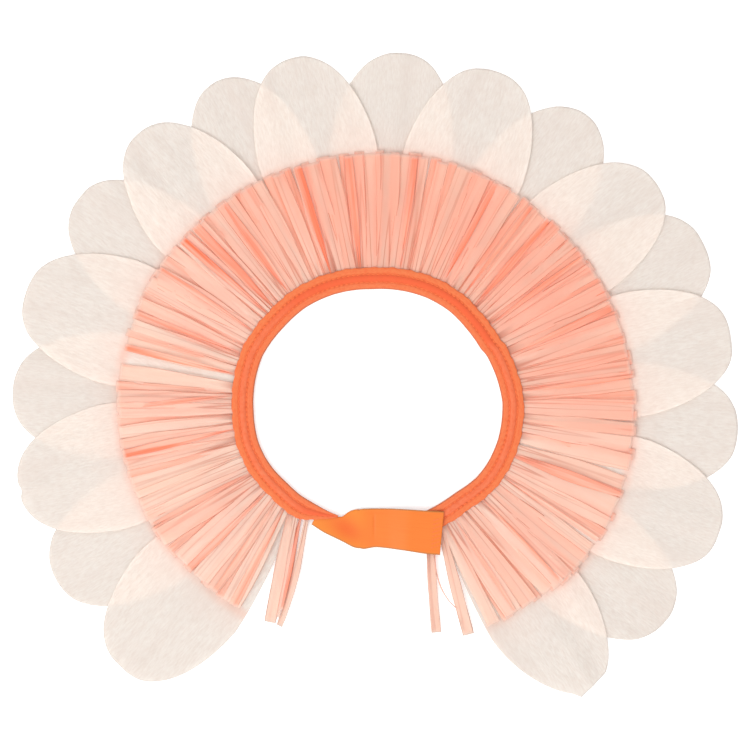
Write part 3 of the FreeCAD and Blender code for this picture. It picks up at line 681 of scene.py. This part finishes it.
def tapeRelief(offset, width, arc):
    # height added to the upper leaf: the puff between the seams, puckers along them and soft ripples
    share = width / ring["width"]
    inset = tape["seam"] * share
    between = np.clip((offset - inset) / np.maximum(width - 2 * inset, 0.01), 0, 1)
    puff = tape["puff"] * share * np.sin(np.pi * between)
    seamGap = np.minimum(np.abs(offset - inset), np.abs(offset - (width - inset)))
    pinch = -tape["pinch"] * np.exp(-(seamGap / 0.8) ** 2) * share
    pucker = tape["pucker"] * np.cos(2 * np.pi * arc / tape["pitch"])
    pucker = pucker * np.exp(-(seamGap / 2.2) ** 2) * share
    swell = np.sin(np.pi * np.clip(offset / width, 0, 1))
    ripple = tape["ripple"] * np.sin(arc / 2.1 + 2.2 * np.sin(arc / 17.0)) * swell
    # both edges are rounded off
    edgeDrop = -0.5 * np.exp(-np.maximum(width - offset, 0) / 0.5)
    edgeDrop = edgeDrop - 0.6 * np.exp(-np.maximum(offset, 0) / 0.6)
    return puff + pinch + pucker + ripple * share + edgeDrop * share


def makeTape():
    angles = np.linspace(tape["start"], tape["end"], tape["steps"] + 1)
    share = np.clip((angles - tape["taperStart"]) / (tape["end"] - tape["taperStart"]), 0, 1)
    widths = ring["width"] - (ring["width"] - tape["taperWidth"]) * share
    radii = ringRadius(angles) + wander(angles)
    arc = np.concatenate([[0], np.cumsum(np.radians(np.diff(angles)) * (radii[1:] + ring["width"] / 2))])
    # the outer edge isn't quite even
    flutter = 0.22 * np.sin(arc / 1.9 + 1.7 * np.sin(arc / 11.0)) + 0.15 * np.sin(arc / 0.83)
    rows, cuts = [], []
    for angle, width, radius, length, jitter in zip(angles, widths, radii, arc, flutter):
        offset, z = tapeSection(width).T
        z = z + np.where(z > tape["top"] + 0.1, tapeRelief(offset, width, length), 0)
        nearEdge = np.clip((offset - width * 0.6) / (width * 0.4), 0, 1)
        offset = offset + jitter * nearEdge * width / ring["width"]
        x, y = heading(angle)
        rows.append(np.stack([x * (radius + offset), y * (radius + offset), z], -1))
        cuts.append(np.stack([np.full_like(offset, length) * mm, offset / width * ring["width"] * mm,
                              np.full_like(offset, angle)], -1))
    rows = np.array(rows)
    count = rows.shape[1]
    index = np.arange(rows.shape[0] * count).reshape(rows.shape[0], count)
    after = np.roll(index, -1, axis=1)
    quads = np.stack([index[:-1], after[:-1], after[1:], index[1:]], -1).reshape(-1, 4).tolist()
    mesh = bpy.data.meshes.new("binding_tape_folded")
    ends = [index[0][::-1].tolist(), index[-1].tolist()]
    mesh.from_pydata((rows.reshape(-1, 3) * mm).tolist(), [], quads + ends)
    store(mesh, "cut", cuts, "FLOAT_VECTOR")
    mesh.polygons.foreach_set("use_smooth", [True] * len(quads) + [False, False])
    mesh.materials.append(biasTape)
    return addObject("binding_tape_folded", mesh), float(arc[-1])


def finishMaterial(tree, colour, relief, bump, surface):
    # the last nodes of an opaque material
    raised = addNode(tree, "ShaderNodeBump", bump, {"Height": relief})
    shader = addNode(tree, "ShaderNodeBsdfPrincipled", surface, {"Base Color": colour, "Normal": raised})
    addNode(tree, "ShaderNodeOutputMaterial", None, {"Surface": shader})


def tapeMaterial(look):
    material, tree = newMaterial("cottonBiasTape")
    flat, place, noises = sheetPattern(tree, look["marks"])
    zones = {}          # from across the tape (Y) and round the ring in degrees (Z)
    for label, way, start, end, before, after in (
            ("outer", "Y", 7.9 * mm, 9.1 * mm, 0.0, 1.0), ("inner", "Y", 5.1 * mm, 3.5 * mm, 0.0, 1.0),
            ("rim", "Y", 0.1 * mm, 0.9 * mm, 0.45, 0.0), ("tail", "Z", 222.0, 242.0, 0.0, 0.8),
            ("crownStart", "Z", 24.0, 36.0, 0.0, 1.0), ("crownEnd", "Z", 150.0, 108.0, 0.0, 1.0)):
        zones[label] = addNode(tree, "ShaderNodeMapRange", {
            **eased, "From Min": start, "From Max": end, "To Min": before, "To Max": after},
            {"Value": place[way]})
    # the puff between the seams is deeper in colour over the crown and at the tail, in streaks elsewhere
    crown = addNode(tree, "ShaderNodeMath", times, {0: zones["crownStart"], 1: zones["crownEnd"]})
    deepest = addNode(tree, "ShaderNodeMath", {"operation": "MAXIMUM"}, {0: crown, 1: zones["tail"]})
    streaked = addNode(tree, "ShaderNodeMapRange", {"From Min": 0.3, "From Max": 0.7},
                       {"Value": noises["streak"]})
    deepShare = addNode(tree, "ShaderNodeMath", {"operation": "MULTIPLY_ADD", 1: 0.35, "use_clamp": True},
                        {0: streaked, 2: deepest})
    mottled = addNode(tree, "ShaderNodeMapRange", {"From Min": 0.42, "From Max": 0.66, "To Max": 0.7},
                      {"Value": noises["mottle"]})
    colour = addNode(tree, "ShaderNodeMix",
                     {**dyes, 6: toLinear(look["puff"]), 7: toLinear(look["deep"])}, {0: deepShare})
    shares = [("inner", zones["inner"]), ("flange", zones["outer"]), ("mottle", mottled)]
    # the cloth is darker along both seams, and each stitch has a dark dot: painted shade in its needle hole
    pace = addNode(tree, "ShaderNodeMath", {**times, 1: 1 / (tape["pitch"] * mm)}, {0: place["X"]})
    beat = addNode(tree, "ShaderNodeMath", {"operation": "FRACT"}, {0: pace})
    fromHole = addNode(tree, "ShaderNodeMath", {"operation": "SUBTRACT", 1: 0.5}, {0: beat})
    alongHole = addNode(tree, "ShaderNodeMath", {**times, 1: tape["pitch"]}, {0: fromHole})
    for seam, strength in ((ring["width"] - tape["seam"], 0.75), (tape["seam"], 0.45)):
        offSeam = addNode(tree, "ShaderNodeMath", {"operation": "MULTIPLY_ADD", 1: 1 / mm, 2: -seam},
                          {0: place["Y"]})
        beside = addNode(tree, "ShaderNodeMath", {"operation": "ABSOLUTE"}, {0: offSeam})
        spot = addNode(tree, "ShaderNodeCombineXYZ", None, {"X": alongHole, "Y": offSeam})
        gap = addNode(tree, "ShaderNodeVectorMath", {"operation": "LENGTH"}, {0: spot})
        nearSeam = addNode(tree, "ShaderNodeMapRange", {
            **eased, "From Min": 0.2, "From Max": 1.2, "To Min": 0.55, "To Max": 0.0}, {"Value": beside})
        dot = addNode(tree, "ShaderNodeMapRange", {
            **eased, "From Min": 0.35, "From Max": 0.95, "To Min": strength, "To Max": 0.0}, {"Value": gap})
        holeShade = addNode(tree, "ShaderNodeMath", times, {0: dot, 1: streaked})
        shares += [("seamDark", nearSeam), ("holeShade", holeShade)]
    # plain weave, on the bias
    turned = addNode(tree, "ShaderNodeMapping", {
        "Rotation": (0, 0, math.radians(45)), "Scale": (1.0, 1.0, 0.0)}, {"Vector": flat})
    waveLength = 0.314      # of a wave texture at a scale of 1
    warp, weft = [addNode(tree, "ShaderNodeTexWave", {
        "wave_type": "BANDS", "bands_direction": way, "Scale": waveLength / (look["thread"] * mm),
        "Distortion": 1.2, "Detail": 2.0}, {"Vector": turned}).outputs["Fac"] for way in ("X", "Y")]
    weave = addNode(tree, "ShaderNodeMath", times, {0: warp, 1: weft})
    between = addNode(tree, "ShaderNodeMapRange", {"To Min": 0.16, "To Max": 0.0}, {"Value": weave})
    shares += [("shade", zones["rim"]), ("weave", between)]
    for tone, share in shares:
        colour = addNode(tree, "ShaderNodeMix", {**dyes, 7: toLinear(look[tone])}, {0: share, 6: colour})
    finishMaterial(tree, colour, weave, {"Strength": 0.5, "Distance": 0.12 * mm},
                   {"Roughness": 0.8, "IOR": 1.5, "Sheen Weight": 0.15, "Sheen Roughness": 0.5})
    return material


# Cotton bias tape: woven plain, dyed in the piece and cut on the slant. It is matt with a faint fuzz, the
# dye is mottled, and the threads run at 45 degrees. They are half this wide, drawn coarser to show.
biasTape = tapeMaterial({
    "puff": "#DC744C", "deep": "#DE562A", "inner": "#DC7444", "flange": "#DC7440", "mottle": "#D85C2C",
    "seamDark": "#D85A28", "holeShade": "#B44A1C", "shade": "#B9602F", "weave": "#E8602C", "thread": 1.0,
    "marks": {"streak": (9.0, 2.2, 0.0, 3.0, 0.5), "mottle": (2.6, 1.3, 0.0, 4.0, 0.65)}})
tapePiece, tapeLength = makeTape()
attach(tapePiece, body)
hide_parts("binding_tape")
print("binding tape made, length", round(tapeLength), "mm")

# Stitches: small rounded bars of thread at the stitch pitch along each seam
stitch = {"length": 2.1, "width": 0.6, "height": 0.4, "slant": 8.0, "sunk": 0.12,
          "tacks": 8, "tackPitch": 1.7, "tackFrom": 0.14, "tackSpan": 0.72}


def stitchTree(sizes):
    # a small bar of thread at each pitch along a line, turned a little at random
    tree, given = newTree("seamStitches", sizes)
    line = addNode(tree, "GeometryNodeMeshToCurve", None, {"Mesh": given["Geometry"]})
    spots = addNode(tree, "GeometryNodeCurveToPoints", {"mode": "LENGTH"},
                    {"Curve": line, "Length": given["Pitch"]})
    ball = addNode(tree, "GeometryNodeMeshUVSphere", {"Segments": 8, "Rings": 6, "Radius": 0.5})
    soft = addNode(tree, "GeometryNodeSetShadeSmooth", None, {"Geometry": ball})
    size = addNode(tree, "ShaderNodeCombineXYZ", None, {
        "X": given["Stitch Length"], "Y": given["Stitch Width"], "Z": given["Stitch Height"]})
    along = addNode(tree, "FunctionNodeAlignRotationToVector", {"axis": "X"},
                    {"Vector": spots.outputs["Tangent"]})
    low = addNode(tree, "ShaderNodeMath", {**times, 1: -1.0}, {0: given["Slant"]})
    slant = addNode(tree, "FunctionNodeRandomValue", {"data_type": "FLOAT"},
                    {2: low, 3: given["Slant"], "Seed": given["Seed"]})
    spin = addNode(tree, "ShaderNodeCombineXYZ", None, {"Z": slant})
    slanted = addNode(tree, "FunctionNodeRotateRotation", {"rotation_space": "LOCAL"},
                      {"Rotation": along, "Rotate By": spin})
    bars = addNode(tree, "GeometryNodeInstanceOnPoints", None,
                   {"Points": spots, "Instance": soft, "Rotation": slanted, "Scale": size})
    return endTree(tree, given, bars)


def threadMaterial(look):
    material, tree = newMaterial("spunPolyesterThread")
    spot = addNode(tree, "ShaderNodeTexCoord").outputs["Object"]
    twist = addNode(tree, "ShaderNodeTexNoise", {"Scale": 1 / (look["twist"] * mm), "Detail": 2.0},
                    {"Vector": spot})
    colour = addNode(tree, "ShaderNodeMix",
                     {**dyes, 6: toLinear(look["light"]), 7: toLinear(look["dark"])}, {0: twist})
    finishMaterial(tree, colour, twist, {"Strength": 0.4, "Distance": 0.08 * mm},
                   {"Roughness": 0.55, "IOR": 1.5})
    return material


stitchSizes = {"Pitch": tape["pitch"] * mm, "Stitch Length": stitch["length"] * mm,
               "Stitch Width": stitch["width"] * mm, "Stitch Height": stitch["height"] * mm,
               "Slant": math.radians(stitch["slant"]), "Seed": 3}
sewTree = stitchTree(stitchSizes)
# Sewing thread: spun and twisted polyester, a little shinier than the tape, its twist a fine unevenness
sewingThread = threadMaterial({"light": "#F07A3C", "dark": "#E0602A", "twist": 0.6})


def makeStitches(name, node, lines, values):
    guide = guideObject(name + "_line", lines)
    piece = runTree(guide, sewTree, {**stitchSizes, **values, "Material": sewingThread}, name)
    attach(piece, body)
    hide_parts(node)


seamAngles = np.linspace(tape["start"] + 1, tape["taperStart"], 500)
for seam, inset in (("outer", ring["width"] - tape["seam"]), ("inner", tape["seam"])):
    radii = ringRadius(seamAngles) + wander(seamAngles) + inset
    level = np.full((len(radii), 1), tape["height"] - stitch["sunk"])
    line = np.concatenate([heading(seamAngles) * radii[:, None], level], 1)
    makeStitches(seam + "_seam_thread", seam + "_seam_stitches", [line], {})
print("seams sewn")

# Elastic strap, with the narrow end turned under and tucked into the tape
strap = {
    "width": 25.0, "thickness": 0.8, "gap": 0.3,
    "rest": 2.7, "rise": 0.6, "lift": 0.9,      # heights: in the gap, nearing the tape, its lower edge on it
    "along": 140, "across": 44,         # stretches of the net
    "bend": 0.8,                        # radius of the turned edge
    "ripple": 0.25,                     # half the height of its slow waves
    "hollow": (-18.0, -70.5), "hollowTurn": -31, "hollowLong": 12.5, "hollowWide": 6.5, "trough": 0.3,
    "creaseAt": -1.3, "creaseWide": 0.6, "creaseDeep": 0.3, "creaseShade": 0.35,
}
# Stations of the strap's upper edge under the tape: ring angle and offset, heading across, width, share
# turned under
strapTucked = [(240.0, 2.2, 242, 20.6, 0.5), (246.0, 1.6, 254, 24.4, 0.5)]
# The further ones: share of the way between the tape's tips, rise above that line, heading across, width,
# share turned under, and level
strapRows = [(0.02, -1.2, 262, 26.0, 0.46, "tucked"), (0.08, 1.8, 270, 27.0, 0.28, "rest"),
             (0.14, 3.0, 275, 26.3, 0.08, "rest"), (0.22, 3.4, 276, 24.5, 0.0, "rest"),
             (0.38, 2.9, 273.5, 23.1, 0.0, "rest"), (0.56, 2.2, 271, 24.0, 0.0, "rising"),
             (0.78, 0.8, 267, 24.8, 0.0, "onTape"), (1.0, -0.9, 265, 25.8, 0.0, "onTape"),
             (1.175, -2.1, 264.5, 26.1, 0.0, "onTape")]


def strapStations():
    leftTip, rightTip = ringPoint(251.0, 0.0), ringPoint(-62.0, 0.0)
    line = rightTip - leftTip
    above = np.array([-line[1], line[0]]) / np.hypot(*line)
    onTape = tape["height"] + tape["puff"] + strap["thickness"] + 0.1
    tucked, rest = tape["top"] - strap["gap"], strap["rest"]
    levels = {"tucked": (tucked,) * 2, "rest": (rest,) * 2, "rising": (rest + strap["rise"],) * 2,
              "onTape": (onTape, onTape + strap["lift"])}      # heights of the upper and the lower edge
    stations = [(*ringPoint(angle, offset), direction, width, turned, *levels["tucked"])
                for angle, offset, direction, width, turned in strapTucked]
    stations += [(*(leftTip + line * share + above * rise), direction, width, turned, *levels[level])
                 for share, rise, direction, width, turned, level in strapRows]
    return np.array(stations)


def makeStrap():
    stations = strapStations()
    reach = np.concatenate([[0], np.cumsum(np.hypot(*np.diff(stations[:, :2], axis=0).T))])
    fine = np.linspace(0, reach[-1], strap["along"] + 1)
    kernel = np.hanning(19)
    kernel /= kernel.sum()
    columns = []
    for column in stations.T:
        raw = np.pad(np.interp(fine, reach, column), 9, "reflect", reflect_type="odd")
        columns.append(np.convolve(raw, kernel, "valid")[:, None])
    cornerX, cornerY, direction, width, turned, upperZ, lowerZ = columns
    turned = np.clip(turned, 0, 0.5)
    share = np.tile(np.linspace(0, 1, strap["across"] + 1), (len(fine), 1))
    run = np.repeat(fine[:, None], share.shape[1], 1)
    # the turned edge rolls back on itself, and lies under the face
    reachOut = width * (share - turned)
    rolled = np.sqrt(reachOut ** 2 + strap["bend"] ** 2) - strap["bend"]
    ease = smooth(turned / 0.04)
    place = np.stack([cornerX, cornerY], -1)
    place = place + heading(direction) * (rolled * ease + np.abs(reachOut) * (1 - ease))[..., None]
    under = smooth((turned - share) * width / 2.2 + 0.5) * smooth(turned / 0.08)
    z = upperZ + (lowerZ - upperZ) * share - under * (2 * strap["thickness"] + strap["gap"])
    loose = smooth((run - 24) / 20) * smooth((78 - run) / 20)      # between the twist and the tape
    z = z + strap["ripple"] * np.sin(run / 7.0 + share * 2.5) * loose
    # the twist leaves a soft hollow that runs from the fold towards the lower edge
    fromHollow = place - np.array(strap["hollow"])
    slope = math.radians(strap["hollowTurn"])
    length = fromHollow @ np.array([math.cos(slope), math.sin(slope)])
    breadth = fromHollow @ np.array([-math.sin(slope), math.cos(slope)])
    hollow = np.exp(-(length / strap["hollowLong"]) ** 2 - (breadth / strap["hollowWide"]) ** 2)
    hollow = hollow * (1 - under)
    # and a faint crease stands across the face where the twist ends
    crease = np.exp(-((place[..., 0] - strap["creaseAt"]) / strap["creaseWide"]) ** 2)
    crease = crease * smooth((share - 0.08) / 0.2) * (1 - smooth((share - 0.5) / 0.4))
    z = z - strap["trough"] * hollow - strap["creaseDeep"] * crease
    # the colour's hollow share: painted shade in the hollow and along the crease
    hollow = np.maximum(hollow, strap["creaseShade"] * crease)
    slack = (1 - smooth((run - 24) / 10)) * (1 - under)
    places = np.concatenate([place, z[..., None]], -1)
    cut = np.stack([run, share * strap["width"]], -1)
    source = gridObject("chin_strap_elastic", places[:, ::-1], cut[:, ::-1], 0.5)
    store(source.data, "hollow", hollow[:, ::-1])
    store(source.data, "slack", slack[:, ::-1])
    piece = runTree(source, sheetTree, {"Thickness": strap["thickness"] * mm, "Material": satinElastic},
                    "chin_strap_elastic")
    return piece, float(reach[-1])


def elasticMaterial(look):
    material, tree = newMaterial("satinElastic")
    _, place, noises = sheetPattern(tree, look["marks"])
    colour = addNode(tree, "ShaderNodeMix",
                     {**dyes, 6: toLinear(look["face"]), 7: toLinear(look["rib"])}, {0: noises["ribs"]})
    shares = []
    # slack parts are paler; the hollow share is painted shade
    for label, most in (("slack", 0.8), ("hollow", 0.9)):
        found = addNode(tree, "ShaderNodeAttribute", {"attribute_name": label}).outputs["Fac"]
        shares.append((label, addNode(tree, "ShaderNodeMath", {**times, 1: most}, {0: found})))
    # painted shade along both edges
    fromEdge = addNode(tree, "ShaderNodeMath", {"operation": "PINGPONG", 1: strap["width"] / 2 * mm},
                       {0: place["Y"]})
    shares.append(("edge", addNode(tree, "ShaderNodeMapRange", {
        **eased, "From Min": 0.2 * mm, "From Max": 1.2 * mm, "To Min": 0.8, "To Max": 0.0},
        {"Value": fromEdge})))
    for tone, share in shares:
        colour = addNode(tree, "ShaderNodeMix", {**dyes, 7: toLinear(look[tone])}, {0: share, 6: colour})
    finishMaterial(tree, colour, noises["ribs"], {"Strength": 0.35, "Distance": 0.1 * mm},
                   {"Roughness": 0.5, "IOR": 1.5, "Sheen Weight": 0.2, "Sheen Roughness": 0.4})
    return material


# Satin elastic: rubber threads woven in under long floats of polyester, so fine ribs run along a face with
# a soft shine. It is paler where it is slack, and painted shade darkens its hollow, its crease and its
# edges.
satinElastic = elasticMaterial({
    "face": "#DE6A0E", "rib": "#E07619", "slack": "#DE7E1C", "hollow": "#DC5C08", "edge": "#A86A2C",
    "marks": {"ribs": (16.0, 0.9, 0.0, 3.0, 0.5)}})
strapPiece, strapLength = makeStrap()
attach(strapPiece, body)
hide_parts("chin_strap")
print("chin strap made, length", round(strapLength), "mm")

# Zigzag of tacks across the strap's end
before, corner = strapStations()[-2:]
back = (before[:2] - corner[:2]) / np.hypot(*(before[:2] - corner[:2]))
down = heading(corner[2])
bars = []
for k in range(stitch["tacks"]):
    ends = []
    for shift, inset in ((-0.025, 1.6), (0.025, 5.0)):      # share across, and mm in from the end
        part = stitch["tackFrom"] + stitch["tackSpan"] * (k + 0.5) / stitch["tacks"] + shift
        flatPlace = corner[:2] + back * inset + down * corner[3] * part
        ends.append([*flatPlace, corner[5] + (corner[6] - corner[5]) * part - 0.1])
    bars.append(np.array(ends))
makeStitches("strap_tack_thread", "strap_tack_stitches", bars,
             {"Pitch": stitch["tackPitch"] * mm, "Seed": 5})

# Stage: a matt grey table. The camera sees it white wherever nothing sheer lies before it, and so do gloss
# and glass, while its shadows stay and the light that it sends up through the papers is a grey table's
table = {"half": 4.0, "drop": 0.0002, "grey": "#A8A5A1", "glow": 0.22}      # metres
tableMesh = bpy.data.meshes.new("table")
tableMesh.from_pydata([(x * table["half"], y * table["half"], -table["drop"])
                       for x, y in ((-1, -1), (1, -1), (1, 1), (-1, 1))], [], [(0, 1, 2, 3)])
floor = addObject("table", tableMesh)
material, tree = newMaterial("mattTable")
path = addNode(tree, "ShaderNodeLightPath").outputs
behind = addNode(tree, "ShaderNodeMapRange", {"To Min": 1.0, "To Max": 0.0},
                 {"Value": path["Transparent Depth"]})
direct = addNode(tree, "ShaderNodeMath", times, {0: path["Is Camera Ray"], 1: behind})
glass = addNode(tree, "ShaderNodeMath", {"operation": "SUBTRACT", "use_clamp": True},
                {0: path["Is Transmission Ray"], 1: path["Is Diffuse Ray"]})
clear = addNode(tree, "ShaderNodeMath", {"operation": "MAXIMUM"}, {0: glass, 1: path["Is Glossy Ray"]})
seen = addNode(tree, "ShaderNodeMath", {"operation": "MAXIMUM"}, {0: direct, 1: clear})
white = addNode(tree, "ShaderNodeBsdfDiffuse", {"Color": (1.0, 1.0, 1.0, 1.0)})
glow = addNode(tree, "ShaderNodeEmission", {"Strength": table["glow"]})
bright = addNode(tree, "ShaderNodeAddShader", None, {0: white, 1: glow})
grey = addNode(tree, "ShaderNodeBsdfDiffuse", {"Color": toLinear(table["grey"])})
both = addNode(tree, "ShaderNodeMixShader", None, {"Fac": seen, 1: grey, 2: bright})
addNode(tree, "ShaderNodeOutputMaterial", None, {"Surface": both})
tableMesh.materials.append(material)

world = bpy.data.worlds.new("studio")
world.use_nodes = True
tree = world.node_tree
tree.nodes.clear()
path = addNode(tree, "ShaderNodeLightPath").outputs
level = addNode(tree, "ShaderNodeMix", {"data_type": "FLOAT", 2: 1.02, 3: 1.0}, {0: path["Is Camera Ray"]})
sky = addNode(tree, "ShaderNodeBackground", {"Color": (1.0, 1.0, 1.0, 1.0)}, {"Strength": level})
addNode(tree, "ShaderNodeOutputWorld", None, {"Surface": sky})
scene.world = world

lamp = bpy.data.lights.new("softbox", "AREA")
lamp.shape, lamp.size, lamp.size_y, lamp.energy = "RECTANGLE", 2.4, 2.4, 68.0
softbox = addObject("softbox", lamp)
softbox.location = (-1.8, -1.8, 2.6)
softbox.rotation_euler = Vector((1.8, 1.8, -2.6)).to_track_quat("-Z", "Y").to_euler()

camera = bpy.data.cameras.new("camera")
camera.lens, camera.sensor_width = 100.0, 36.0
frameWidth = 0.4536          # what the frame spans across the bonnet
viewer = addObject("camera", camera)
viewer.location = (0.00108, 0.02268, frameWidth * camera.lens / camera.sensor_width + 0.004)
scene.camera = viewer

scene.view_settings.view_transform = "Standard"
scene.cycles.transparent_max_bounces = 32   # many sheer strips can lie on each other
scene.cycles.max_bounces = 40               # and light passes back and forth between the papers
scene.cycles.diffuse_bounces = 36
scene.cycles.transmission_bounces = 36
print("stage, lamps and camera set")
